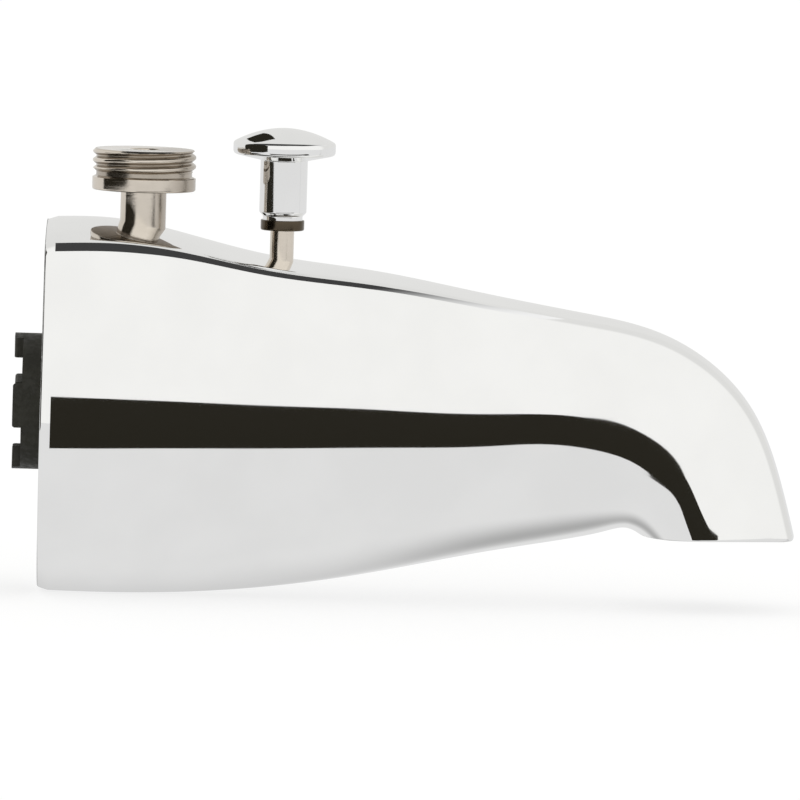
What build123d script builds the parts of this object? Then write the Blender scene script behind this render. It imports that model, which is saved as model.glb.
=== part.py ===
"""Wall bath spout with a lift diverter and a threaded top outlet for a hand shower hose.

X runs from the wall to the nose, Z is up, and the inlet axis is the X axis. Sizes are in mm.
"""
import os
from math import cos, hypot, radians, tan

from build123d import *

os.makedirs("parts", exist_ok=True)

# Outer form of the cast body
PROJECTION = 152.3
TOP_HEIGHT = 37.2
BELLY_DEPTH = 38.0
REAR_WAIST = 64.4
OUTLET_WAIST = 33.0
OUTLET_LENGTH = 31.3
OUTLET_DROP = 23.2
WALL = 2.8
REAR_BEVEL = 2.1
REAR_BEVEL_DEPTH = 0.6
REAR_ROUND = 0.3
OUTLET_ROUND = 0.5

# Hose nipple on top of the body
NIPPLE_X = 19.2
NIPPLE_TOP = 51.45
HOSE_THREAD_RADIUS = 10.4
HEAD_HEIGHT = 8.25
COLLAR_HEIGHT = 2.55
THREAD_PITCH = 1.814
THREAD_DEPTH = 0.75
THREAD_RELIEF = 1.05
LEAST_LEAD = 0.25
ROOT_FLAT = 0.16
CREST_FLAT = 0.1
LEAD_IN = 0.5
NECK_RADIUS = 4.6
SHANK_CLEARANCE = 0.05
NIPPLE_BORE_RADIUS = 2.9
NIPPLE_BOSS_RADIUS = 8.0
NIPPLE_SEAT_RISE = 3.0
NIPPLE_WASHER = 1.2

# Lift knob and rod
KNOB_X = 47.3
KNOB_TOP = 56.5
CAP_RADIUS = 10.3
CAP_DOME = 2.9
DOME_SHARE = 0.26
CAP_RIM = 2.4
CAP_ROUND = 1.1
CAP_UNDER_TAPER = 1.2
BARREL_RADIUS = 4.75
KNOB_FOOT_Z = 35.9
BEAD_HEIGHT = 2.1
BEAD_RADIUS = 4.4
BEAD_ROUND = 0.3
GROOVE_HEIGHT = 0.8
GROOVE_RADIUS = 4.0
ROD_RADIUS = 2.4
ROD_INTO_KNOB = 9.0
ROD_CLEARANCE = 0.05
ROD_BOSS_RADIUS = 5.5
ROD_SEAL_RISE = 2.6
ROD_SEAL_SECTION = 0.45
ROD_SEAL_CLEARANCE = 0.02
ROD_SPIGOT_RADIUS = 1.4

# Inlet tube, bushing and washer
TUBE_RADIUS = 16.8
TUBE_SETBACK = 1.0
BUSHING_RADIUS = 13.3
BUSHING_COLLAR_RADIUS = 13.7
BUSHING_DEPTH = 15.0
BUSHING_PROUD = 4.05
LUG_HEIGHT = 1.75
LUG_COUNT = 4
LUG_ARC = 38.0
LUG_TURN = 90.0
LUG_ROUND = 0.6
PIPE_THREAD_RADIUS = 9.4
WASHER_THICKNESS = 1.6
WASHER_BORE_RADIUS = 9.6
WATERWAY_RADIUS = 11.0

# Diverter gate and its chamber
GATE_THICKNESS = 5.0
GATE_LIFT = 14.0
GATE_GAP = 0.3
GATE_FLOOR_GAP = 0.02
GATE_CORNER = 1.5
ORIFICE_RADIUS = 5.5
GATE_OVERLAP = 2.0
GATE_MARGIN = 0.6
GATE_HUB_RADIUS = 2.5
GATE_HUB_RISE = 2.0
ROD_INTO_GATE = 6.0
DISC_THICKNESS = 1.6
DISC_RECESS = 0.8
DISC_HOLE_RADIUS = 1.5
SEAT_GAP = 0.15
BULKHEAD = 3.0
CHAMBER_WALL = 2.5
WEB = 2.6
WEB_SETBACK = 7.0

# Stations from the wall to the outlet, as shares of the sizes above
TOP_ALONG = (0.0, 0.092, 0.184, 0.289, 0.433, 0.578, 0.722, 0.844, 0.940, 0.9805, 1.0)
TOP_RISE = (1.0, 1.0, 0.925, 0.820, 0.744, 0.643, 0.547, 0.409, 0.062, None, None)
UNDER_ALONG = (0.0, 0.092, 0.184, 0.289, 0.433, 0.578, 0.676, 0.739, 0.770, 0.785, None)
UNDER_DROP = (1.0, 1.003, 0.992, 0.957, 0.866, 0.742, 0.668, 0.614)
COLLAR_DROP = (0.95, 0.96638)
NOSE_DROP = 0.53
NARROWING = (0.0, 0.07, 0.17, 0.30, 0.50, 0.72, 0.88, 0.96, 1.0, 1.0, 1.0)
WAIST_AT = (0.562, 0.561, 0.578, 0.598, 0.600, 0.595, 0.590, 0.520, 0.475, 0.465, 0.465)
PANEL_TILT = (11.7, 11.7, 11.7, 11.7, 11.7, 12.0, 13.0, 14.5, 16.0, 16.5, 16.5)
CROWN_DROP = (3.9, 3.6, 2.0, 1.0, 0.7, 0.6, 0.6, 0.7, 0.8, 0.8, 0.8)
BELLY_FULLNESS = (0.55, 0.55, 0.55, 0.55, 0.55, 0.55, 0.57, 0.60, 0.64, 0.67, 0.68)
CORNER_TRIM = 2.8
CORNER_FULLNESS = 0.58
CORNER_INSET = 0.6
LEAST_TRIM = 0.6
BELLY_SPREAD = 0.2

STATIONS = len(TOP_ALONG)
SECTIONS_PER_STATION = 2
OVERRUN = 4.0
TOUCH = 0.01


def station_points(index):
    """The belly point and the crown point of one station, as (x, z) pairs."""
    if index == STATIONS - 1:
        under = (PROJECTION - OUTLET_LENGTH, -OUTLET_DROP)
    elif index < len(UNDER_DROP):
        under = (PROJECTION * UNDER_ALONG[index], -BELLY_DEPTH * UNDER_DROP[index])
    else:
        under = (PROJECTION * UNDER_ALONG[index], -OUTLET_DROP * COLLAR_DROP[index - len(UNDER_DROP)])
    if index == STATIONS - 1:
        top_z = -OUTLET_DROP
    elif index == STATIONS - 2:
        top_z = -OUTLET_DROP * NOSE_DROP
    else:
        top_z = TOP_HEIGHT * TOP_RISE[index]
    return under, (PROJECTION * TOP_ALONG[index], top_z)


unders, tops = zip(*[station_points(index) for index in range(STATIONS)])
places = [0.0]
for index in range(1, STATIONS):
    under_step = hypot(unders[index][0] - unders[index - 1][0], unders[index][1] - unders[index - 1][1])
    top_step = hypot(tops[index][0] - tops[index - 1][0], tops[index][1] - tops[index - 1][1])
    places.append(places[-1] + (under_step + top_step) / 2)


def smooth(values):
    """Natural cubic spline through one value at each station place, as a function of the place."""
    gaps = [after - before for before, after in zip(places, places[1:])]
    slopes = [(after - before) / gap for before, after, gap in zip(values, values[1:], gaps)]
    shares = [0.0]
    pulls = [0.0]
    for k in range(1, STATIONS - 1):
        pivot = 2 * (gaps[k - 1] + gaps[k]) - gaps[k - 1] * shares[-1]
        shares.append(gaps[k] / pivot)
        pulls.append((6 * (slopes[k] - slopes[k - 1]) - gaps[k - 1] * pulls[-1]) / pivot)
    bends = [0.0]
    for share, pull in zip(reversed(shares), reversed(pulls)):
        bends.insert(0, pull - share * bends[0])

    def value(place):
        k = 0
        while k < STATIONS - 2 and place > places[k + 1]:
            k += 1
        gap = gaps[k]
        ahead = (place - places[k]) / gap
        behind = 1 - ahead
        straight = values[k] * behind + values[k + 1] * ahead
        bulge = bends[k] * (behind**3 - behind) + bends[k + 1] * (ahead**3 - ahead)
        return straight + bulge * gap**2 / 6

    return value


under_x, under_z = [smooth(values) for values in zip(*unders)]
top_x, top_z = [smooth(values) for values in zip(*tops)]
narrowing = smooth(NARROWING)
waist_at = smooth(WAIST_AT)
panel_tilt = smooth(PANEL_TILT)
crown_drop = smooth(CROWN_DROP)
belly_fullness = smooth(BELLY_FULLNESS)


def section(at, inset=0.0, shift=(0.0, 0.0)):
    """One closed section of the body, drawn in the plane through its belly point and crown point."""
    rise_x = top_x(at) - under_x(at)
    rise_z = top_z(at) - under_z(at)
    height = hypot(rise_x, rise_z)

    def place(across, up):
        x = under_x(at) + up * rise_x / height + shift[0]
        z = under_z(at) + up * rise_z / height + shift[1]
        return Vector(x, across, z)

    tilt = radians(panel_tilt(at))
    slope = tan(tilt)
    fullness = belly_fullness(at)
    drop = crown_drop(at)
    full_waist = REAR_WAIST + (OUTLET_WAIST - REAR_WAIST) * narrowing(at)
    waist = full_waist / 2 - inset / cos(tilt)
    waist_up = height * waist_at(at)
    crown = height - inset
    shoulder = waist - (crown - drop - waist_up) * slope
    trim = max(CORNER_TRIM - inset * CORNER_INSET, LEAST_TRIM)

    crown_end = shoulder - trim
    crown_end_up = crown - drop * (crown_end / shoulder) ** 2
    crown_slope = -2 * drop * crown_end / shoulder**2
    run_out = waist + waist_up * slope - crown_end
    meet_up = (crown_end_up + crown_slope * run_out) / (1 + crown_slope * slope)
    meet = waist - (meet_up - waist_up) * slope
    side_start_up = meet_up - trim * cos(tilt)
    side_start = meet + trim * cos(tilt) * slope
    keep = 1 - CORNER_FULLNESS
    corner_a = (crown_end * keep + meet * (1 - keep), crown_end_up * keep + meet_up * (1 - keep))
    corner_b = (side_start * keep + meet * (1 - keep), side_start_up * keep + meet_up * (1 - keep))
    reach = fullness * (waist_up - inset)
    belly_a = (waist + reach * slope, waist_up - reach)
    belly_b = (fullness * (waist + reach * slope * BELLY_SPREAD), inset)
    crown_peak = (0.0, 2 * crown - crown_end_up)

    def half(side):
        corner = Edge.make_bezier(
            place(side * crown_end, crown_end_up),
            place(side * corner_a[0], corner_a[1]),
            place(side * corner_b[0], corner_b[1]),
            place(side * side_start, side_start_up),
        )
        panel = Edge.make_line(place(side * side_start, side_start_up), place(side * waist, waist_up))
        belly = Edge.make_bezier(
            place(side * waist, waist_up),
            place(side * belly_a[0], belly_a[1]),
            place(side * belly_b[0], belly_b[1]),
            place(0.0, inset),
        )
        return [corner, panel, belly]

    left = place(-crown_end, crown_end_up)
    right = place(crown_end, crown_end_up)
    top_edge = Edge.make_bezier(left, place(*crown_peak), right)
    return Wire([top_edge] + half(1) + half(-1)[::-1])


def body_form(inset=0.0, overrun=0.0):
    """Loft of the sections; an inset form runs past the wall plane and the outlet by the overrun."""
    wires = [section(0.0, inset, (-overrun, 0.0))]
    for before, after in zip(places, places[1:]):
        for part in range(1, SECTIONS_PER_STATION + 1):
            wires.append(section(before + (after - before) * part / SECTIONS_PER_STATION, inset))
    if overrun:
        wires[-1] = section(places[-1], inset, (0.0, -overrun))
    return Solid.make_loft(wires)


def along_x(radius, start, end):
    """Cylinder on the inlet axis."""
    round_bar = Cylinder(radius, end - start, align=(Align.CENTER, Align.CENTER, Align.MIN))
    return Pos(start, 0, 0) * Rot(0, 90, 0) * round_bar


def upright(radius, x, bottom, top):
    """Vertical cylinder in the middle plane."""
    return Pos(x, 0, bottom) * Cylinder(radius, top - bottom, align=(Align.CENTER, Align.CENTER, Align.MIN))


def block(x_span, half_width, z_span):
    """Box that is symmetric about the middle plane."""
    return Pos(x_span[0], 0, z_span[0]) * Box(
        x_span[1] - x_span[0],
        2 * half_width,
        z_span[1] - z_span[0],
        align=(Align.MIN, Align.CENTER, Align.MIN),
    )


def turned(x, outline):
    """Solid of revolution about the vertical axis at x, from an outline of (radius, z) points."""
    face = make_face(Polyline(*[(radius, 0, z) for radius, z in outline], close=True))
    return Pos(x, 0, 0) * revolve(face, Axis.Z)


# Levels that follow from the sizes
socket_end = TUBE_SETBACK + BUSHING_DEPTH + WASHER_THICKNESS
gate_front = KNOB_X + GATE_THICKNESS / 2
gate_back = KNOB_X - GATE_THICKNESS / 2
bulkhead_x = gate_front + DISC_THICKNESS - DISC_RECESS + SEAT_GAP
disc_radius = ORIFICE_RADIUS + GATE_OVERLAP
gate_half = disc_radius + GATE_MARGIN
gate_top = gate_half - GATE_LIFT
gate_foot = -gate_half - GATE_LIFT
pocket_floor = gate_foot - GATE_FLOOR_GAP
pocket_half = gate_half + GATE_GAP
pocket_back = gate_back - GATE_GAP
shank_seat = WATERWAY_RADIUS + NIPPLE_SEAT_RISE
shank_foot = shank_seat + NIPPLE_WASHER
sky = 2 * (TOP_HEIGHT + BELLY_DEPTH)

# Cast body: the outer form less a dry hollow behind the bulkhead and a wet hollow in the nose
outer = body_form()
rear_edges = outer.edges().filter_by_position(Axis.X, -TOUCH, TOUCH)
rear_face = outer.faces().sort_by(Axis.X)[0]
outer = outer.chamfer(REAR_BEVEL_DEPTH, REAR_BEVEL, rear_edges, rear_face)
rear_edges = outer.edges().filter_by_position(Axis.X, -TOUCH, TOUCH)
outer = outer.fillet(REAR_ROUND, rear_edges)
outlet_edges = outer.edges().filter_by_position(Axis.Z, -OUTLET_DROP - TOUCH, -OUTLET_DROP + TOUCH)
outer = outer.fillet(OUTLET_ROUND, outlet_edges)
inner = Part() + body_form(WALL, OVERRUN)

tube = along_x(TUBE_RADIUS, TUBE_SETBACK, bulkhead_x)
chamber = block(
    (pocket_back - CHAMBER_WALL, bulkhead_x),
    pocket_half + CHAMBER_WALL,
    (pocket_floor - CHAMBER_WALL, 0),
)
nipple_boss = upright(NIPPLE_BOSS_RADIUS, NIPPLE_X, 0, sky)
rod_boss = upright(ROD_BOSS_RADIUS, KNOB_X, 0, sky)
floor_web = block((WEB_SETBACK, bulkhead_x), WEB / 2, (-sky, 0))
side_webs = block((WEB_SETBACK, bulkhead_x), sky, (-WEB / 2, WEB / 2))

dry = inner & block((-2 * OVERRUN, bulkhead_x), sky, (-sky, sky))
for kept in (tube, chamber, nipple_boss, rod_boss, floor_web, side_webs):
    dry -= kept
wet = inner & block((bulkhead_x + BULKHEAD, 2 * PROJECTION), sky, (-sky, sky))

body = Part() + outer
body -= dry
body -= wet
body -= along_x(BUSHING_RADIUS, 0, socket_end)
body -= along_x(WATERWAY_RADIUS, 0, bulkhead_x)
body -= block((pocket_back, bulkhead_x), pocket_half, (pocket_floor, 0))
body -= along_x(ORIFICE_RADIUS, 0, bulkhead_x + 2 * BULKHEAD)
body -= upright(NIPPLE_BORE_RADIUS, NIPPLE_X, 0, shank_foot)
body -= upright(NECK_RADIUS + SHANK_CLEARANCE, NIPPLE_X, shank_seat, sky)
body -= upright(ROD_RADIUS + ROD_CLEARANCE, KNOB_X, 0, sky)

# Inlet bushing with a castellated end, and the washer behind it
lug_face = -BUSHING_PROUD - LUG_HEIGHT
bushing = along_x(BUSHING_COLLAR_RADIUS, lug_face, TUBE_SETBACK)
bushing += along_x(BUSHING_RADIUS, TUBE_SETBACK, TUBE_SETBACK + BUSHING_DEPTH)
bushing -= along_x(PIPE_THREAD_RADIUS, lug_face, socket_end)
notch_arc = 360 / LUG_COUNT - LUG_ARC
notch = Cylinder(
    2 * BUSHING_COLLAR_RADIUS,
    LUG_HEIGHT,
    arc_size=notch_arc,
    align=(Align.NONE, Align.NONE, Align.MIN),
)
for number in range(LUG_COUNT):
    turn = LUG_TURN + LUG_ARC / 2 + number * 360 / LUG_COUNT
    bushing -= Pos(lug_face, 0, 0) * Rot(0, 90, 0) * Rot(0, 0, turn) * notch
straight_edges = bushing.edges().filter_by(GeomType.LINE)
lug_edges = straight_edges.filter_by_position(Axis.X, lug_face - TOUCH, lug_face + TOUCH)
bushing = fillet(lug_edges, LUG_ROUND)
inlet_washer = along_x(BUSHING_RADIUS, TUBE_SETBACK + BUSHING_DEPTH, socket_end)
inlet_washer -= along_x(WASHER_BORE_RADIUS, TUBE_SETBACK, socket_end)

# Hose nipple with its threaded head, and the washer under its shank
head_foot = NIPPLE_TOP - HEAD_HEIGHT
collar_top = head_foot + COLLAR_HEIGHT
root = HOSE_THREAD_RADIUS - THREAD_DEPTH
root_half = ROOT_FLAT * THREAD_PITCH / 2
crest_half = CREST_FLAT * THREAD_PITCH / 2
outline = [(NIPPLE_BORE_RADIUS, shank_foot), (NECK_RADIUS, shank_foot), (NECK_RADIUS, head_foot)]
outline += [(HOSE_THREAD_RADIUS - LEAD_IN / 2, head_foot), (HOSE_THREAD_RADIUS, head_foot + LEAD_IN / 2)]
outline += [(HOSE_THREAD_RADIUS, collar_top), (root, collar_top + THREAD_DEPTH / 2)]
valley = collar_top + THREAD_RELIEF
for number in range(int((NIPPLE_TOP - valley) / THREAD_PITCH - LEAST_LEAD)):
    crest = valley + THREAD_PITCH / 2
    outline += [(root, valley + root_half), (HOSE_THREAD_RADIUS, crest - crest_half)]
    valley += THREAD_PITCH
    outline += [(HOSE_THREAD_RADIUS, crest + crest_half), (root, valley - root_half)]
outline += [(root, valley + root_half)]
outline += [(HOSE_THREAD_RADIUS - LEAD_IN, NIPPLE_TOP), (NIPPLE_BORE_RADIUS, NIPPLE_TOP)]
nipple = turned(NIPPLE_X, outline)
nipple_seal = upright(NECK_RADIUS, NIPPLE_X, shank_seat, shank_foot)
nipple_seal -= upright(NIPPLE_BORE_RADIUS, NIPPLE_X, shank_seat, shank_foot)

# Lift knob
rim_top = KNOB_TOP - CAP_DOME
rim_foot = rim_top - CAP_RIM
bead_top = KNOB_FOOT_Z + BEAD_HEIGHT
groove_top = bead_top + GROOVE_HEIGHT
rod_top = KNOB_FOOT_Z + ROD_INTO_KNOB
dome = ThreePointArc(
    (0, 0, KNOB_TOP),
    (CAP_RADIUS / 2, 0, KNOB_TOP - CAP_DOME * DOME_SHARE),
    (CAP_RADIUS, 0, rim_top),
)
knob_side = Polyline(
    (CAP_RADIUS, 0, rim_top),
    (CAP_RADIUS, 0, rim_foot),
    (BARREL_RADIUS, 0, rim_foot - CAP_UNDER_TAPER),
    (BARREL_RADIUS, 0, groove_top + BARREL_RADIUS - GROOVE_RADIUS),
    (GROOVE_RADIUS, 0, groove_top),
    (GROOVE_RADIUS, 0, bead_top),
    (BEAD_RADIUS, 0, bead_top),
    (BEAD_RADIUS, 0, KNOB_FOOT_Z),
    (ROD_RADIUS, 0, KNOB_FOOT_Z),
    (ROD_RADIUS, 0, rod_top),
    (0, 0, rod_top),
    (0, 0, KNOB_TOP),
)
knob = revolve(make_face(dome + knob_side), Axis.Z)


def rings(piece, radius):
    """Circular edges of one radius."""
    circles = piece.edges().filter_by(GeomType.CIRCLE)
    return circles.filter_by(lambda edge: abs(edge.radius - radius) < TOUCH)


knob = fillet(rings(knob, CAP_RADIUS), CAP_ROUND)
knob = fillet(rings(knob, BEAD_RADIUS), BEAD_ROUND)
knob = Pos(KNOB_X, 0, 0) * knob

# Rod with its O-ring
seal_z = WATERWAY_RADIUS + ROD_SEAL_RISE
seal_outer = ROD_RADIUS + ROD_CLEARANCE - ROD_SEAL_CLEARANCE
seal_centre = seal_outer - ROD_SEAL_SECTION
groove_root = seal_centre - ROD_SEAL_SECTION
hub_top = gate_top + GATE_HUB_RISE
rod = upright(ROD_RADIUS, KNOB_X, hub_top, rod_top)
rod += upright(ROD_SPIGOT_RADIUS, KNOB_X, hub_top - ROD_INTO_GATE, hub_top)
seal_groove = upright(2 * ROD_RADIUS, KNOB_X, seal_z - ROD_SEAL_SECTION, seal_z + ROD_SEAL_SECTION)
seal_groove -= upright(groove_root, KNOB_X, seal_z - ROD_SEAL_SECTION, seal_z + ROD_SEAL_SECTION)
rod -= seal_groove
rod_seal = Pos(KNOB_X, 0, seal_z) * Torus(seal_centre, ROD_SEAL_SECTION)

# Gate with its rubber disc
gate = block((gate_back, gate_front), gate_half, (gate_foot, gate_top))
gate = fillet(gate.edges().filter_by(Axis.X), GATE_CORNER)
gate += upright(GATE_HUB_RADIUS, KNOB_X, gate_top - GATE_CORNER, hub_top)
gate -= upright(ROD_SPIGOT_RADIUS, KNOB_X, hub_top - ROD_INTO_GATE, hub_top)
disc_back = gate_front - DISC_RECESS
disc = Pos(0, 0, -GATE_LIFT) * along_x(disc_radius, disc_back, disc_back + DISC_THICKNESS)
gate -= disc
disc -= Pos(0, 0, -GATE_LIFT) * along_x(DISC_HOLE_RADIUS, disc_back, disc_back + DISC_THICKNESS)
gate += Pos(0, 0, -GATE_LIFT) * along_x(DISC_HOLE_RADIUS, disc_back, gate_front)

pieces = {
    "spout_body": body,
    "inlet_bushing": bushing,
    "inlet_washer": inlet_washer,
    "hose_nipple": nipple,
    "nipple_seal": nipple_seal,
    "diverter_knob": knob,
    "diverter_rod": rod,
    "rod_seal": rod_seal,
    "diverter_gate": gate,
    "gate_washer": disc,
}
for name, piece in pieces.items():
    export_step(piece, f"parts/{name}.step")
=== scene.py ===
"""Studio scene of the bath spout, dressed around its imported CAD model. Lengths are in metres."""
import math

import bmesh
import bpy
import numpy as np
from mathutils import Matrix, Vector
from mathutils.bvhtree import BVHTree


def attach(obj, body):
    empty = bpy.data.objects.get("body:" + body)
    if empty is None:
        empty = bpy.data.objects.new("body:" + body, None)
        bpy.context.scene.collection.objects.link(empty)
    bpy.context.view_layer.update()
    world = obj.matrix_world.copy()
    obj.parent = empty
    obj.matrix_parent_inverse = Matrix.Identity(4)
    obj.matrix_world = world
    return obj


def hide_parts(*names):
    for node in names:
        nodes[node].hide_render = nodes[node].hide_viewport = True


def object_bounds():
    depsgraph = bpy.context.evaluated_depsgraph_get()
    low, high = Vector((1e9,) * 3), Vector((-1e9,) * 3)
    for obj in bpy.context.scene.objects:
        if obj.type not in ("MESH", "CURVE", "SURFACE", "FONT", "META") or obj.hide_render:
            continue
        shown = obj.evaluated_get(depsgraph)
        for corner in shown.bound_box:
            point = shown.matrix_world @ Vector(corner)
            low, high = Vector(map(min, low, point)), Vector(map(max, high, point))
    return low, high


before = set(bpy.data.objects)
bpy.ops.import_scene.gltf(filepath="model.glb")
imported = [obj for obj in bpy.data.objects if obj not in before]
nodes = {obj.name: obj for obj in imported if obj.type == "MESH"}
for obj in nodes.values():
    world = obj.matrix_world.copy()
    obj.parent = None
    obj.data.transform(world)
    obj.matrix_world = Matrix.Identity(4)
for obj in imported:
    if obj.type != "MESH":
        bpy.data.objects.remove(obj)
cad_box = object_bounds()
scene = bpy.context.scene
scene.view_settings.view_transform = "Standard"
MM = 0.001

# Camera at the photograph's viewing angle
VIEW_CENTRE = Vector((0.0720, 0.0, 0.0023))
VIEW_WIDTH = 0.1612
ELEVATION = math.radians(4.5)
YAW = math.radians(-0.7)
ROLL = math.radians(1.7)
LENS = 600.0
SENSOR = 36.0

CLIP = (0.01, 50.0)

# World, brighter in front of the body than behind it
WORLD_COLOUR = (1.0, 0.998, 0.982, 1.0)
WORLD_FRONT = 0.94
WORLD_BACK = 0.77
WORLD_CHANGE = (-0.05, 0.25)

# Floor: how bright it is by itself, to the camera and in the metal, and the painted shade under the body
# that the metal sees in it
FLOOR_Z = cad_box[0][2]
FLOOR_SIZE = 6.0
FLOOR_COLOUR = (0.80, 0.80, 0.79, 1.0)
SHADOW_COLOUR = (0.34, 0.34, 0.34, 1.0)
FLOOR_GLOW = 0.72
FLOOR_MIRRORED = 0.77
SHADE_REACH = 0.016
SHADE_BODY = 0.14
SHADE_OUTLET = 0.2
OUTLET_SHADE_START = (0.06, 0.10)
OUTLET_SHADE_END = (0.112, 0.13)

# Dark studio flags in mm: the front one by its edges and foot as (x, z), the others by their corners
FLAG_COLOUR = (0.021, 0.019, 0.014, 1.0)
FLAG_FRONT_Y = -75.0
FLAG_TOP = (
    (-3, 15.2), (40, 15.2), (85, 14.9), (112, 16.2), (136, 20), (147, 16.7),
    (155, 11.7), (160, 4.8), (162, -3), (165.5, -10), (176, -15),
)
FLAG_LOW = (
    (-3, -20.5), (30, -17.6), (60, -16), (95, -17.2), (110, -16), (116, -13.2),
    (123, -12), (130, -13.2), (132.5, -18), (130.5, -23), (129.6, -28),
)
FLAG_FOOT = ((129.6, -38), (176, -38))
FLAG_STEPS = 60
FLAG_LEFT = ((-440, -30), (60, -30), (60, 520), (-180, 520), (-440, 240))
FLAG_LEFT_X = -300.0
FLAG_BACK = ((-72, 290), (-20, 290), (-20, 640), (-192, 640))
FLAG_BACK_Y = 500.0
FLAG_ROOF = ((-20, -80), (40, -72), (75, -50), (95, -45), (130, -10), (130, 80), (95, 22), (-20, 8))
FLAG_ROOF_Z = 120.0
ROOF_FADE = (92.0, 128.0)
ROOF_DARK = 0.05
ROOF_PALE = 0.93

# Form of the cast body in mm, the same sizes and stations as in the part's source
PROJECTION = 152.3
TOP_HEIGHT = 37.2
BELLY_DEPTH = 38.0
REAR_WAIST = 64.4
OUTLET_WAIST = 33.0
OUTLET_LENGTH = 31.3
OUTLET_DROP = 23.2
OUTLET_FROM = PROJECTION - OUTLET_LENGTH - 1
REAR_BEVEL = 2.1
REAR_BEVEL_DEPTH = 0.6
REAR_ROUND = 0.3
OUTLET_ROUND = 0.5
TOP_ALONG = (0.0, 0.092, 0.184, 0.289, 0.433, 0.578, 0.722, 0.844, 0.940, 0.9805, 1.0)
TOP_RISE = (1.0, 1.0, 0.925, 0.820, 0.744, 0.643, 0.547, 0.409, 0.062)
UNDER_ALONG = (0.0, 0.092, 0.184, 0.289, 0.433, 0.578, 0.676, 0.739, 0.770, 0.785)
UNDER_DROP = (1.0, 1.003, 0.992, 0.957, 0.866, 0.742, 0.668, 0.614, 0.580, 0.590)
NOSE_DROP = 0.53
NARROWING = (0.0, 0.07, 0.17, 0.30, 0.50, 0.72, 0.88, 0.96, 1.0, 1.0, 1.0)
WAIST_AT = (0.562, 0.561, 0.578, 0.598, 0.600, 0.595, 0.590, 0.520, 0.475, 0.465, 0.465)
PANEL_TILT = (11.7, 11.7, 11.7, 11.7, 11.7, 12.0, 13.0, 14.5, 16.0, 16.5, 16.5)
CROWN_DROP = (3.9, 3.6, 2.0, 1.0, 0.7, 0.6, 0.6, 0.7, 0.8, 0.8, 0.8)
BELLY_FULLNESS = (0.55, 0.55, 0.55, 0.55, 0.55, 0.55, 0.57, 0.60, 0.64, 0.67, 0.68)
CORNER_TRIM = 2.8
CORNER_FULLNESS = 0.58
BELLY_SPREAD = 0.2

# Fineness of the body's skin
ROW_STEP = 1.0
ROUND_STEPS = 10
BEVEL_STEPS = 8
CROWN_STEPS = 14
CORNER_STEPS = 10
PANEL_STEPS = 8
BELLY_STEPS = 28
SKIN_NEAR = 1.0
RIM_NEAR = 0.02
WELD = 0.001
INSIDE_WELD = 0.002
SHARP = math.radians(35)
BODY_SHARP = math.radians(12)

# Hose nipple and lift knob in mm, the same sizes as in the part's source
NIPPLE_X = 19.2
NIPPLE_TOP = 51.45
SHANK_FOOT = 15.2
HOSE_THREAD_RADIUS = 10.4
HEAD_HEIGHT = 8.25
COLLAR_HEIGHT = 2.55
THREAD_PITCH = 1.814
THREAD_DEPTH = 0.75
THREAD_RELIEF = 1.05
THREAD_SHARPNESS = 1.5
RELIEF_ENTRY = 0.35
RELIEF_FLAT = 0.1
RELIEF_EXIT = 0.75
LEAD_IN = 0.5
NECK_RADIUS = 4.6
NIPPLE_BORE_RADIUS = 2.9
KNOB_X = 47.3
KNOB_TOP = 56.5
CAP_RADIUS = 10.3
CAP_DOME = 2.9
DOME_LIFT = 0.04
CAP_RIM = 2.4
CAP_EDGE = 0.8
CAP_UNDER_TAPER = 1.2
BARREL_RADIUS = 4.75
KNOB_FOOT_Z = 35.9
BEAD_HEIGHT = 2.1
BEAD_RADIUS = 4.4
GROOVE_HEIGHT = 0.8
GROOVE_RADIUS = 4.0
ROD_RADIUS = 2.4
ROD_TOP = 44.9

# Brown on the hose nipple, a painted shade in the thread grooves and under the head, a painted dark
# reflection on the knob's side and faint random tarnish marks: their shares, and where they start and end
GROOVE_PAINTED_SHADE = 0.42
SIDE_PAINTED_REFLECTION = 0.42
UNDER_PAINTED_SHADE = 0.85
MARK_TARNISH = 0.06
ROOT_BLUR = 0.02
CREST_CLEAN = 0.985
NIPPLE_REACH = (1.02, 1.04)
SIDE_REACH = (0.3, 0.8)
UNDER_REACH = (-0.9, -0.5)
CLEAN_ROUGHNESS = 0.10
DARKENED_ROUGHNESS = 0.34

# Fine marks in the surfaces: how many to a metre, how deep in metres, and how strong
NOISE_DETAIL = 3.0
NOISE_SPAN = (0.3, 0.7)
POLISH_MARKS = 60.0
POLISH_DULL = 0.97
POLISH_SPREAD = 0.2
CASTING_PITS = 1500.0
CASTING_PIT_DEPTH = 0.00002
TARNISH_MARKS = 300.0
LATHE_MARKS = 9000.0
LATHE_DEPTH = 0.000004
GRAIN = 900.0
GRAIN_DEPTH = 0.00002
GRAIN_SPREAD = 0.15
PLASTIC_MARKS = 250.0
PLASTIC_WORN = 1.35

# Fineness of the turned pieces
TURN_STEPS = 160
DOME_STEPS = 24
THREAD_STEPS = 110
EDGE_STEPS = 4
EDGE_SOFT = 0.2
FRONT_TURN = 1.5 * math.pi


def link(obj):
    """Puts the object in the scene."""
    scene.collection.objects.link(obj)
    return obj


def add_camera():
    """Long-lens camera at the photograph's angle."""
    distance = VIEW_WIDTH * LENS / SENSOR
    data = bpy.data.cameras.new("camera")
    data.lens = LENS
    data.sensor_width = SENSOR
    data.clip_start, data.clip_end = CLIP
    camera = link(bpy.data.objects.new("camera", data))
    towards = Vector((
        math.sin(YAW) * math.cos(ELEVATION),
        -math.cos(YAW) * math.cos(ELEVATION),
        math.sin(ELEVATION),
    ))
    camera.location = VIEW_CENTRE + towards * distance
    turn = towards.to_track_quat("Z", "Y").to_matrix()
    camera.rotation_euler = (turn @ Matrix.Rotation(ROLL, 3, "Z")).to_euler()
    scene.camera = camera


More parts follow.
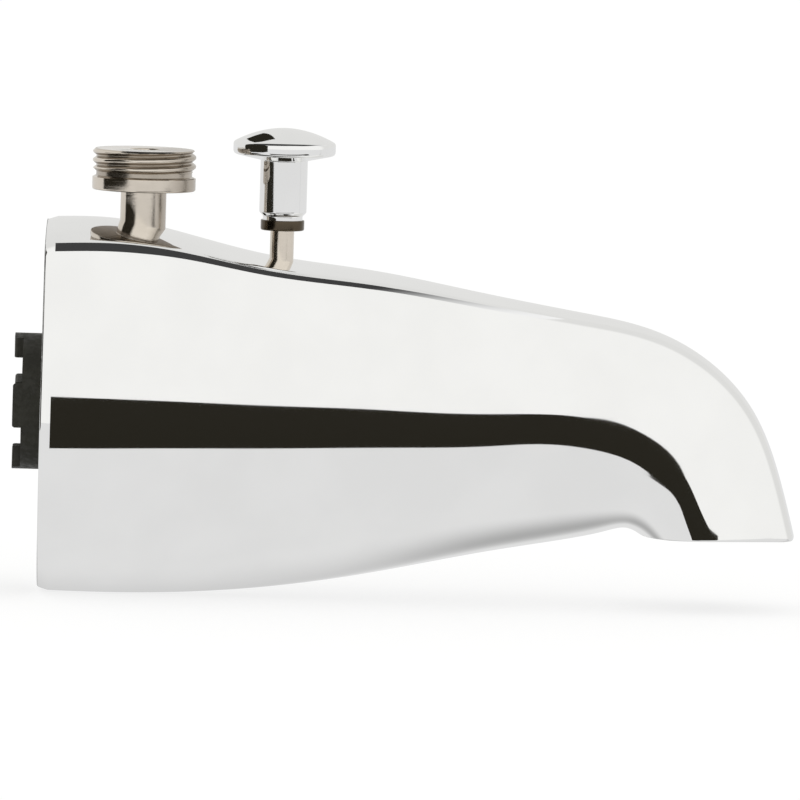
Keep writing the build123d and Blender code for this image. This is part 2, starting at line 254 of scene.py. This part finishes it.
class Nodes:
    """Small helper that adds and wires shader nodes."""

    def __init__(self, tree):
        self.tree = tree
        tree.nodes.clear()

    def add(self, kind, inputs=None, **settings):
        node = self.tree.nodes.new(kind)
        for name, value in settings.items():
            setattr(node, name, value)
        for name, value in (inputs or {}).items():
            self.feed(node.inputs[name], value)
        return node

    def feed(self, socket, value):
        if isinstance(value, bpy.types.NodeSocket):
            self.tree.links.new(value, socket)
        else:
            socket.default_value = value

    def math(self, operation, first, second=0.0, third=0.0, clamp=False):
        node = self.add("ShaderNodeMath", operation=operation, use_clamp=clamp)
        for socket, value in zip(node.inputs, (first, second, third)):
            self.feed(socket, value)
        return node.outputs[0]

    def step(self, value, start, end, low=0.0, high=1.0):
        """Smooth change from low to high while the value goes from start to end."""
        node = self.add("ShaderNodeMapRange", interpolation_type="SMOOTHSTEP")
        for name, number in (("Value", value), ("From Min", start), ("From Max", end)):
            self.feed(node.inputs[name], number)
        self.feed(node.inputs["To Min"], low)
        self.feed(node.inputs["To Max"], high)
        return node.outputs["Result"]

    def mix(self, share, first, second):
        """Shader that goes from the first to the second as the share goes from 0 to 1."""
        node = self.add("ShaderNodeMixShader", {"Fac": share})
        self.feed(node.inputs[1], first)
        self.feed(node.inputs[2], second)
        return node.outputs[0]

    def sum(self, first, second):
        """Shader with the light of both."""
        node = self.add("ShaderNodeAddShader")
        self.feed(node.inputs[0], first)
        self.feed(node.inputs[1], second)
        return node.outputs[0]

    def blend(self, share, first, second):
        """Colour that goes from the first to the second as the share goes from 0 to 1."""
        node = self.add("ShaderNodeValToRGB", {"Fac": share})
        for element, colour in zip(node.color_ramp.elements, (first, second)):
            element.color = colour
        return node.outputs["Color"]

    def noise(self, coords, scale):
        """Fine noise between 0 and 1."""
        node = self.add("ShaderNodeTexNoise", {"Vector": coords, "Scale": scale, "Detail": NOISE_DETAIL})
        return self.step(node.outputs["Fac"], *NOISE_SPAN)

    def bump(self, height, depth):
        """Normal of a surface with small bumps of the given depth in metres."""
        node = self.add("ShaderNodeBump", {"Height": height, "Distance": depth})
        return node.outputs["Normal"]


def add_world():
    """White surroundings, which the part sees at a plain level."""
    world = bpy.data.worlds.new("studio")
    world.use_nodes = True
    scene.world = world
    n = Nodes(world.node_tree)
    coords = n.add("ShaderNodeTexCoord")
    split = n.add("ShaderNodeSeparateXYZ", {"Vector": coords.outputs["Generated"]})
    level = n.step(split.outputs["Y"], *WORLD_CHANGE, WORLD_FRONT, WORLD_BACK)
    path = n.add("ShaderNodeLightPath")
    seen = n.add("ShaderNodeMix", data_type="FLOAT")
    n.feed(seen.inputs["Factor"], path.outputs["Is Camera Ray"])
    n.feed(seen.inputs["A"], level)
    n.feed(seen.inputs["B"], 1.0)
    back = n.add("ShaderNodeBackground", {"Color": WORLD_COLOUR, "Strength": seen.outputs["Result"]})
    n.add("ShaderNodeOutputWorld", {"Surface": back.outputs[0]})


def plane(name, corners, material):
    """Flat piece of the studio, which is no piece of the part."""
    mesh = bpy.data.meshes.new(name)
    mesh.from_pydata(corners, [], [tuple(range(len(corners)))])
    mesh.materials.append(material)
    obj = link(bpy.data.objects.new(name, mesh))
    return obj


def new_material(name):
    """New material and the helper for its nodes."""
    material = bpy.data.materials.new(name)
    material.use_nodes = True
    return material, Nodes(material.node_tree)


def add_floor():
    """Pale floor with a soft shadow; the metal sees it glow at its own level with a painted shade under
    the body, and it is clear from below.
    """
    material, n = new_material("floor")
    path = n.add("ShaderNodeLightPath")
    pale = n.add("ShaderNodeBsdfDiffuse", {"Color": FLOOR_COLOUR})
    shaded = n.add("ShaderNodeBsdfDiffuse", {"Color": SHADOW_COLOUR})
    lit = n.add("ShaderNodeEmission", {"Strength": FLOOR_GLOW})
    coords = n.add("ShaderNodeTexCoord")
    split = n.add("ShaderNodeSeparateXYZ", {"Vector": coords.outputs["Object"]})
    along = split.outputs["X"]
    reach = n.math("ABSOLUTE", split.outputs["Y"])
    # Painted shade: the glow that the metal sees is darker close under the body, and more so towards the
    # outlet
    beneath = n.step(reach, 0.0, SHADE_REACH, 1.0, 0.0)
    before_outlet = n.step(along, *OUTLET_SHADE_START)
    after_outlet = n.step(along, *OUTLET_SHADE_END, 1.0, 0.0)
    at_outlet = n.math("MULTIPLY", before_outlet, after_outlet)
    painted_shade = n.math("MULTIPLY", beneath, n.math("MULTIPLY_ADD", at_outlet, SHADE_OUTLET, SHADE_BODY))
    mirrored = n.add("ShaderNodeEmission", {"Strength": n.math("SUBTRACT", FLOOR_MIRRORED, painted_shade)})
    with_shadow = n.sum(shaded.outputs[0], lit.outputs[0])
    camera_side = n.mix(path.outputs["Is Camera Ray"], pale.outputs[0], with_shadow)
    upper = n.mix(path.outputs["Is Glossy Ray"], camera_side, mirrored.outputs[0])
    clear = n.add("ShaderNodeBsdfTransparent")
    below = n.add("ShaderNodeNewGeometry").outputs["Backfacing"]
    n.add("ShaderNodeOutputMaterial", {"Surface": n.mix(below, upper, clear.outputs[0])})
    half = FLOOR_SIZE / 2
    corners = [(-half, -half), (half, -half), (half, half), (-half, half)]
    plane("floor", [(x, y, FLOOR_Z) for x, y in corners], material)


def smooth_line(points):
    """Points along a smooth line through the given ones."""
    points = np.array(points, float)
    lengths = np.hypot(*np.diff(points, axis=0).T)
    places = np.concatenate([[0.0], np.cumsum(lengths)])
    return spline(places, points, np.linspace(0.0, places[-1], FLAG_STEPS))


def add_flags():
    """Dark studio flags that only the polished metal sees."""
    black, n = new_material("flag")
    dark = n.add("ShaderNodeEmission", {"Color": FLAG_COLOUR, "Strength": 1.0})
    n.add("ShaderNodeOutputMaterial", {"Surface": dark.outputs[0]})
    fading, n = new_material("fading_flag")
    coords = n.add("ShaderNodeTexCoord")
    split = n.add("ShaderNodeSeparateXYZ", {"Vector": coords.outputs["Object"]})
    fade_start, fade_end = ROOF_FADE
    level = n.step(split.outputs["X"], fade_start * MM, fade_end * MM, ROOF_DARK, ROOF_PALE)
    dark = n.add("ShaderNodeEmission", {"Strength": level})
    n.add("ShaderNodeOutputMaterial", {"Surface": dark.outputs[0]})

    def flag(name, corners, material=black):
        obj = plane(name, [Vector(corner) * MM for corner in corners], material)
        obj.visible_camera = False
        obj.visible_diffuse = False
        obj.visible_shadow = False
        obj.visible_transmission = False

    outline = [*smooth_line(FLAG_TOP), *FLAG_FOOT[::-1], *smooth_line(FLAG_LOW)[::-1]]
    flag("flag_front", [(x, FLAG_FRONT_Y, z) for x, z in outline])
    flag("flag_left", [(FLAG_LEFT_X, y, z) for y, z in FLAG_LEFT])
    flag("flag_back", [(x, FLAG_BACK_Y, z) for x, z in FLAG_BACK])
    flag("flag_top", [(x, y, FLAG_ROOF_Z) for x, y in FLAG_ROOF], fading)


def metal(name, colour, roughness, pits=0.0):
    """Metal with faint cloudy marks in its polish, and with small pits where it is left as cast."""
    material, n = new_material(name)
    coords = n.add("ShaderNodeTexCoord").outputs["Object"]
    marks = n.noise(coords, POLISH_MARKS)
    dull = tuple(POLISH_DULL * level for level in colour[:3]) + (1.0,)
    smoothest = roughness * (1 - POLISH_SPREAD)
    roughest = roughness * (1 + POLISH_SPREAD)
    shader = n.add("ShaderNodeBsdfPrincipled", {
        "Base Color": n.blend(marks, colour, dull),
        "Metallic": 1.0,
        "Roughness": n.step(marks, 0.0, 1.0, smoothest, roughest),
    })
    if pits:
        n.feed(shader.inputs["Normal"], n.bump(n.noise(coords, CASTING_PITS), pits))
    n.add("ShaderNodeOutputMaterial", {"Surface": shader.outputs[0]})
    return material


def turned_metal(name, bright, tarnish_and_shade):
    """Nickel-plated turned brass, browner with painted shade in the thread and under the head, with a
    painted dark reflection on the knob's side, and with faint random tarnish marks.
    """
    material, n = new_material(name)
    coords = n.add("ShaderNodeTexCoord")
    split = n.add("ShaderNodeSeparateXYZ", {"Vector": coords.outputs["Object"]})
    facing = n.add("ShaderNodeSeparateXYZ", {"Vector": coords.outputs["Normal"]})
    off_axis = n.math("SUBTRACT", split.outputs["X"], NIPPLE_X * MM)
    across = n.math("DIVIDE", off_axis, HOSE_THREAD_RADIUS * MM)
    along = n.math("DIVIDE", split.outputs["Y"], HOSE_THREAD_RADIUS * MM)
    radius = n.math("SQRT", n.math("ADD", n.math("POWER", across, 2.0), n.math("POWER", along, 2.0)))
    root = 1 - THREAD_DEPTH / HOSE_THREAD_RADIUS
    # Painted shade in the thread: darker brown from the root up to near the crest
    past_root = n.step(radius, root - ROOT_BLUR, root)
    below_crest = n.step(radius, root, CREST_CLEAN, 1.0, 0.0)
    in_thread = n.math("MULTIPLY", past_root, below_crest)
    # Painted shade under the head, on faces that look down
    beneath = n.step(facing.outputs["Z"], *UNDER_REACH, 1.0, 0.0)
    on_nipple = n.step(radius, *NIPPLE_REACH, 1.0, 0.0)
    # Painted dark reflection on the nipple's side towards the knob
    knob_side = n.step(n.math("DIVIDE", across, radius), *SIDE_REACH)
    beside = n.math("MULTIPLY", knob_side, on_nipple)
    # worn adds up the painted shade, the painted reflection and faint random tarnish marks
    worn = n.math("MULTIPLY", in_thread, GROOVE_PAINTED_SHADE)
    worn = n.math("MAXIMUM", worn, n.math("MULTIPLY", beside, SIDE_PAINTED_REFLECTION))
    worn = n.math("MAXIMUM", worn, n.math("MULTIPLY", beneath, UNDER_PAINTED_SHADE))
    marks = n.noise(coords.outputs["Object"], TARNISH_MARKS)
    worn = n.math("ADD", worn, n.math("MULTIPLY", marks, MARK_TARNISH), clamp=True)
    level = n.math("MULTIPLY", split.outputs["Z"], LATHE_MARKS)
    lathe = n.add("ShaderNodeTexNoise", {"W": level}, noise_dimensions="1D")
    shader = n.add("ShaderNodeBsdfPrincipled", {
        "Base Color": n.blend(worn, bright, tarnish_and_shade),
        "Metallic": 1.0,
        "Roughness": n.step(worn, 0.0, 1.0, CLEAN_ROUGHNESS, DARKENED_ROUGHNESS),
        "Normal": n.bump(lathe.outputs["Fac"], LATHE_DEPTH),
    })
    n.add("ShaderNodeOutputMaterial", {"Surface": shader.outputs[0]})
    return material


def plastic(name, colour, roughness):
    """Moulded plastic or rubber with a fine grain."""
    material, n = new_material(name)
    coords = n.add("ShaderNodeTexCoord").outputs["Object"]
    grain = n.noise(coords, GRAIN)
    worn = tuple(PLASTIC_WORN * level for level in colour[:3]) + (1.0,)
    smoothest = roughness * (1 - GRAIN_SPREAD)
    roughest = roughness * (1 + GRAIN_SPREAD)
    shader = n.add("ShaderNodeBsdfPrincipled", {
        "Base Color": n.blend(n.noise(coords, PLASTIC_MARKS), colour, worn),
        "Roughness": n.step(grain, 0.0, 1.0, smoothest, roughest),
        "Normal": n.bump(grain, GRAIN_DEPTH),
    })
    n.add("ShaderNodeOutputMaterial", {"Surface": shader.outputs[0]})
    return material


def dress(node, material):
    """Gives a CAD piece its material."""
    mesh = nodes[node].data
    mesh.materials.clear()
    mesh.materials.append(material)


def spline(places, values, at):
    """Natural cubic spline through one row of values at each place, read at other places."""
    gaps = np.diff(places)
    slopes = np.diff(values, axis=0) / gaps[:, None]
    matrix = np.eye(len(places))
    pull = np.zeros_like(values)
    for k in range(1, len(places) - 1):
        matrix[k, k - 1:k + 2] = gaps[k - 1], 2 * (gaps[k - 1] + gaps[k]), gaps[k]
        pull[k] = 6 * (slopes[k] - slopes[k - 1])
    bends = np.linalg.solve(matrix, pull)
    k = np.clip(np.searchsorted(places, at) - 1, 0, len(gaps) - 1)
    gap = gaps[k][:, None]
    ahead = (at - places[k])[:, None] / gap
    behind = 1 - ahead
    bulge = bends[k] * (behind**3 - behind) + bends[k + 1] * (ahead**3 - ahead)
    return values[k] * behind + values[k + 1] * ahead + bulge * gap**2 / 6


def bezier(controls, t):
    """Points at t of one Bezier curve in each row; a control is an (across, up) pair of columns."""
    order = len(controls) - 1
    total = 0.0
    for k, control in enumerate(controls):
        weight = math.comb(order, k) * t**k * (1 - t) ** (order - k)
        total = total + np.stack(control, axis=1)[:, None, :] * weight[None, :, None]
    return total


class BodyForm:
    """Outer form of the cast body: a fan of sections from the wall plane to the outlet plane."""

    def __init__(self):
        under_x = [PROJECTION * share for share in UNDER_ALONG] + [PROJECTION - OUTLET_LENGTH]
        under_z = [-BELLY_DEPTH * share for share in UNDER_DROP] + [-OUTLET_DROP]
        top_x = [PROJECTION * share for share in TOP_ALONG]
        top_z = [TOP_HEIGHT * share for share in TOP_RISE] + [-OUTLET_DROP * NOSE_DROP, -OUTLET_DROP]
        self.values = np.array([
            under_x, under_z, top_x, top_z, NARROWING, WAIST_AT, PANEL_TILT, CROWN_DROP, BELLY_FULLNESS,
        ]).T
        moves = np.diff(self.values, axis=0)
        steps = (np.hypot(moves[:, 0], moves[:, 1]) + np.hypot(moves[:, 2], moves[:, 3])) / 2
        self.places = np.concatenate([[0.0], np.cumsum(steps)])
        self.end = self.places[-1]

    def rows(self, at, inset=0.0):
        """Closed rows of points, one at each place."""
        columns = spline(self.places, self.values, np.asarray(at, float)).T
        under_x, under_z, top_x, top_z, narrowing, waist_at, tilt, drop, fullness = columns
        zero = np.zeros_like(tilt)
        tilt = np.radians(tilt)
        slope = np.tan(tilt)
        height = np.hypot(top_x - under_x, top_z - under_z)
        waist = (REAR_WAIST + (OUTLET_WAIST - REAR_WAIST) * narrowing) / 2 - inset / np.cos(tilt)
        waist_up = height * waist_at
        crown = height - inset
        shoulder = waist - (crown - drop - waist_up) * slope
        crown_end = shoulder - CORNER_TRIM
        crown_end_up = crown - drop * (crown_end / shoulder) ** 2
        crown_slope = -2 * drop * crown_end / shoulder**2
        run_out = waist + waist_up * slope - crown_end
        meet_up = (crown_end_up + crown_slope * run_out) / (1 + crown_slope * slope)
        meet = waist - (meet_up - waist_up) * slope
        side_up = meet_up - CORNER_TRIM * np.cos(tilt)
        side = meet + CORNER_TRIM * np.sin(tilt)
        keep = 1 - CORNER_FULLNESS
        corner_a = (crown_end * keep + meet * (1 - keep), crown_end_up * keep + meet_up * (1 - keep))
        corner_b = (side * keep + meet * (1 - keep), side_up * keep + meet_up * (1 - keep))
        reach = fullness * (waist_up - inset)
        belly_a = (waist + reach * slope, waist_up - reach)
        belly_b = (fullness * (waist + reach * slope * BELLY_SPREAD), zero + inset)
        crown_left = (-crown_end, crown_end_up)
        crown_peak = (zero, 2 * crown - crown_end_up)
        crown_right = (crown_end, crown_end_up)
        side_start = (side, side_up)
        side_end = (waist, waist_up)
        belly_middle = (zero, zero + inset)
        half = np.concatenate([
            bezier([crown_left, crown_peak, crown_right], np.linspace(0.5, 1, CROWN_STEPS + 1)),
            bezier([crown_right, corner_a, corner_b, side_start], np.linspace(0, 1, CORNER_STEPS + 1)[1:]),
            bezier([side_start, side_end], np.linspace(0, 1, PANEL_STEPS + 1)[1:]),
            bezier([side_end, belly_a, belly_b, belly_middle], np.linspace(0, 1, BELLY_STEPS + 1)[1:]),
        ], axis=1)
        mirrored = half[:, -2:0:-1] * (-1.0, 1.0)
        across, up = np.moveaxis(np.concatenate([half, mirrored], axis=1), 2, 0)
        share = up / height[:, None]
        x = under_x[:, None] + share * (top_x - under_x)[:, None]
        z = under_z[:, None] + share * (top_z - under_z)[:, None]
        return np.stack([x, across, z], axis=2)


def round_edge(first, corner, last):
    """Rows that turn round an edge, from the first row to the last row."""
    t = np.linspace(0, 1, ROUND_STEPS + 1)[:, None, None]
    weights = ((1 - t) ** 2, math.sqrt(2) * t * (1 - t), t**2)
    return (first * weights[0] + corner * weights[1] + last * weights[2]) / sum(weights)


def grid_mesh(bm, rows, skip=None):
    """Adds a tube of closed rows to the mesh; skip says which four corners are left open."""
    rows = np.asarray(rows) * MM
    corners = [[bm.verts.new(point) for point in row] for row in rows]
    count = len(corners[0])
    for before, after in zip(corners, corners[1:]):
        for k in range(count):
            quad = (before[k], after[k], after[(k + 1) % count], before[(k + 1) % count])
            if skip is None or not skip(quad):
                bm.faces.new(quad)


def in_hole(quad):
    """True where a bit of the skin lies inside the nipple's neck or the rod."""
    for x, radius in ((NIPPLE_X, NECK_RADIUS), (KNOB_X, ROD_RADIUS)):
        if all(v.co.z > 0 and math.hypot(v.co.x / MM - x, v.co.y / MM) < radius for v in quad):
            return True
    return False


def body_skin(bm):
    """Adds the outer skin of the body to the mesh, with its bevelled rear edge and rounded outlet."""
    form = BodyForm()
    count = int(form.end / ROW_STEP)
    main = form.rows(np.linspace(REAR_BEVEL, form.end - OUTLET_ROUND, count))
    edge = form.rows([form.end])[0]
    outlet_rim = form.rows([form.end], OUTLET_ROUND)[0]
    outlet = round_edge(main[-1], edge, outlet_rim)
    rear_edge = form.rows([0.0], REAR_BEVEL_DEPTH)[0]
    rear_rim = form.rows([0.0], REAR_BEVEL_DEPTH + REAR_ROUND)[0]
    share = np.linspace(REAR_ROUND / REAR_BEVEL, 1, BEVEL_STEPS)[:, None, None]
    bevel = rear_edge * (1 - share) + main[0] * share
    rear = round_edge(rear_rim, rear_edge, bevel[0])
    grid_mesh(bm, np.concatenate([rear, bevel[1:], main[1:], outlet[1:]]), in_hole)


def keep_inside(bm, node, skin):
    """Adds the node's own faces, apart from those that the skin stands for."""
    copy = bmesh.new()
    copy.from_mesh(nodes[node].data)
    doomed = []
    for face in copy.faces:
        centre = face.calc_center_median()
        distance = skin.find_nearest(centre)[3]
        on_wall_rim = centre.x < RIM_NEAR * MM
        in_outlet_plane = abs(centre.z + OUTLET_DROP * MM) < RIM_NEAR * MM
        on_outlet_rim = centre.x > OUTLET_FROM * MM and in_outlet_plane
        if distance < SKIN_NEAR * MM and not on_wall_rim and not on_outlet_rim:
            doomed.append(face)
    bmesh.ops.delete(copy, geom=doomed, context="FACES")
    bmesh.ops.remove_doubles(copy, verts=copy.verts, dist=INSIDE_WELD * MM)
    for face in copy.faces:
        face.material_index = 1
        face.smooth = True
    inside = bpy.data.meshes.new("inside")
    copy.to_mesh(inside)
    copy.free()
    bm.from_mesh(inside)
    bpy.data.meshes.remove(inside)


def add_body(outside, inside):
    """Cast body with a dense outer skin over the CAD body's own inside."""
    bm = bmesh.new()
    body_skin(bm)
    for face in bm.faces:
        face.smooth = True
    bm.normal_update()
    keep_inside(bm, "spout_body", BVHTree.FromBMesh(bm))
    mesh = bpy.data.meshes.new("spout_casting")
    bm.to_mesh(mesh)
    bm.free()
    kept_normals = mesh.attributes.get("custom_normal")
    if kept_normals:
        mesh.attributes.remove(kept_normals)
    mesh.materials.append(outside)
    mesh.materials.append(inside)
    mesh.set_sharp_from_angle(angle=BODY_SHARP)
    body = link(bpy.data.objects.new("spout_casting", mesh))
    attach(body, "spout")
    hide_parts("spout_body")


def soften(points, reaches):
    """Outline of (radius, z) points with its corners rounded off, each by its own reach."""
    points = np.array(points, float)
    out = [points[0]]
    for before, corner, after, reach in zip(points, points[1:], points[2:], reaches):
        back = before - corner
        ahead = after - corner
        reach = min(reach, np.hypot(*back) / 2, np.hypot(*ahead) / 2)
        start = corner + back / np.hypot(*back) * reach
        end = corner + ahead / np.hypot(*ahead) * reach
        for t in np.linspace(0, 1, EDGE_STEPS + 1):
            out.append(start * (1 - t) ** 2 + corner * 2 * t * (1 - t) + end * t**2)
    out.append(points[-1])
    return out


turns = np.linspace(0.0, 2 * math.pi, TURN_STEPS, endpoint=False)


def ring(x, radius, z):
    """Row of points round the vertical axis at x; the radius may differ from point to point."""
    return np.stack([x + radius * np.cos(turns), radius * np.sin(turns), np.full_like(turns, z)], axis=1)


def nipple_rows():
    """Rows of the nipple, whose head carries a helical thread over a plain collar."""
    foot = NIPPLE_TOP - HEAD_HEIGHT
    collar = foot + COLLAR_HEIGHT
    relief = collar + THREAD_RELIEF
    rim = HOSE_THREAD_RADIUS - LEAD_IN
    lower = soften([
        (NIPPLE_BORE_RADIUS, SHANK_FOOT), (NECK_RADIUS, SHANK_FOOT), (NECK_RADIUS, foot),
        (HOSE_THREAD_RADIUS, foot), (HOSE_THREAD_RADIUS, collar),
    ], [EDGE_SOFT, 2 * EDGE_SOFT, 2 * EDGE_SOFT])
    upper = soften([
        (rim, NIPPLE_TOP), (NIPPLE_BORE_RADIUS, NIPPLE_TOP), (NIPPLE_BORE_RADIUS, SHANK_FOOT),
    ], [EDGE_SOFT])
    rows = [ring(NIPPLE_X, radius, z) for radius, z in lower]
    relief_at = [collar, collar + RELIEF_ENTRY, relief + RELIEF_FLAT, relief + RELIEF_EXIT]
    for z in np.linspace(collar, NIPPLE_TOP, THREAD_STEPS):
        phase = 2 * math.pi * (z - relief) / THREAD_PITCH - (turns - FRONT_TURN)
        wave = (0.5 + 0.5 * np.cos(phase)) ** THREAD_SHARPNESS
        groove = np.interp(z, relief_at, [0.0, 1.0, 1.0, 0.0])
        radius = HOSE_THREAD_RADIUS - THREAD_DEPTH * np.maximum(wave, groove)
        rows.append(ring(NIPPLE_X, np.minimum(radius, rim + NIPPLE_TOP - z), z))
    return rows + [ring(NIPPLE_X, radius, z) for radius, z in upper]


def knob_rows():
    """Rows of the lift knob: domed cap, barrel, groove and bead."""
    rim_top = KNOB_TOP - CAP_DOME
    rim_foot = rim_top - CAP_RIM
    bead_top = KNOB_FOOT_Z + BEAD_HEIGHT
    groove_top = bead_top + GROOVE_HEIGHT
    dome = []
    for share in np.linspace(0.0, 1.0, DOME_STEPS):
        fall = CAP_DOME * (DOME_LIFT * share + (1 - DOME_LIFT) * share**2)
        dome.append((CAP_RADIUS * share, KNOB_TOP - fall))
    side = soften([
        dome[-3], (CAP_RADIUS, rim_top), (CAP_RADIUS, rim_foot),
        (BARREL_RADIUS, rim_foot - CAP_UNDER_TAPER),
        (BARREL_RADIUS, groove_top + BARREL_RADIUS - GROOVE_RADIUS), (GROOVE_RADIUS, groove_top),
        (GROOVE_RADIUS, bead_top), (BEAD_RADIUS, bead_top), (BEAD_RADIUS, KNOB_FOOT_Z),
        (ROD_RADIUS, KNOB_FOOT_Z), (ROD_RADIUS, ROD_TOP), (0.0, ROD_TOP),
    ], [CAP_EDGE, CAP_EDGE] + [EDGE_SOFT] * 3 + [0.0] + [2 * EDGE_SOFT] * 2 + [0.0] * 2)
    return [ring(KNOB_X, radius, z) for radius, z in dome[:-3] + side]


def add_turned(name, rows, node, body, materials, choose=None):
    """Dense turned piece in place of a node; choose gives a face's material by its height."""
    bm = bmesh.new()
    grid_mesh(bm, rows)
    bmesh.ops.remove_doubles(bm, verts=bm.verts, dist=WELD * MM)
    for face in bm.faces:
        face.smooth = True
        if choose:
            face.material_index = choose(face.calc_center_median().z / MM)
    bmesh.ops.recalc_face_normals(bm, faces=bm.faces)
    mesh = bpy.data.meshes.new(name)
    bm.to_mesh(mesh)
    bm.free()
    for material in materials:
        mesh.materials.append(material)
    mesh.set_sharp_from_angle(angle=SHARP)
    piece = link(bpy.data.objects.new(name, mesh))
    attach(piece, body)
    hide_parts(node)


def on_bead(z):
    """Number of the knob's material at a height: 1 on the bead, 0 elsewhere."""
    return 1 if KNOB_FOOT_Z - EDGE_SOFT < z < KNOB_FOOT_Z + BEAD_HEIGHT + EDGE_SOFT else 0


chrome = metal("chrome", (0.95, 0.95, 0.945, 1.0), 0.04)
cast_metal = metal("cast_metal", (0.72, 0.72, 0.71, 1.0), 0.32, CASTING_PIT_DEPTH)
# The second colour is the brown of the nipple's painted shade, painted reflection and tarnish marks
nickel = turned_metal("nickel", (0.78, 0.71, 0.62, 1.0), (0.15, 0.115, 0.08, 1.0))
bead_metal = metal("bead_metal", (0.10, 0.08, 0.055, 1.0), 0.22)
black_plastic = plastic("black_plastic", (0.021, 0.020, 0.012, 1.0), 0.55)
white_plastic = plastic("white_plastic", (0.80, 0.79, 0.75, 1.0), 0.45)
rubber = plastic("rubber", (0.018, 0.018, 0.018, 1.0), 0.8)
dress("diverter_rod", nickel)
dress("inlet_bushing", black_plastic)
dress("diverter_gate", white_plastic)
for name in ("inlet_washer", "nipple_seal", "rod_seal", "gate_washer"):
    dress(name, rubber)
add_turned("nipple_turned", nipple_rows(), "hose_nipple", "spout", [nickel])
knob_metals = [chrome, bead_metal]
add_turned("knob_turned", knob_rows(), "diverter_knob", "diverter", knob_metals, on_bead)

add_body(chrome, cast_metal)
add_world()
add_floor()
add_flags()
add_camera()
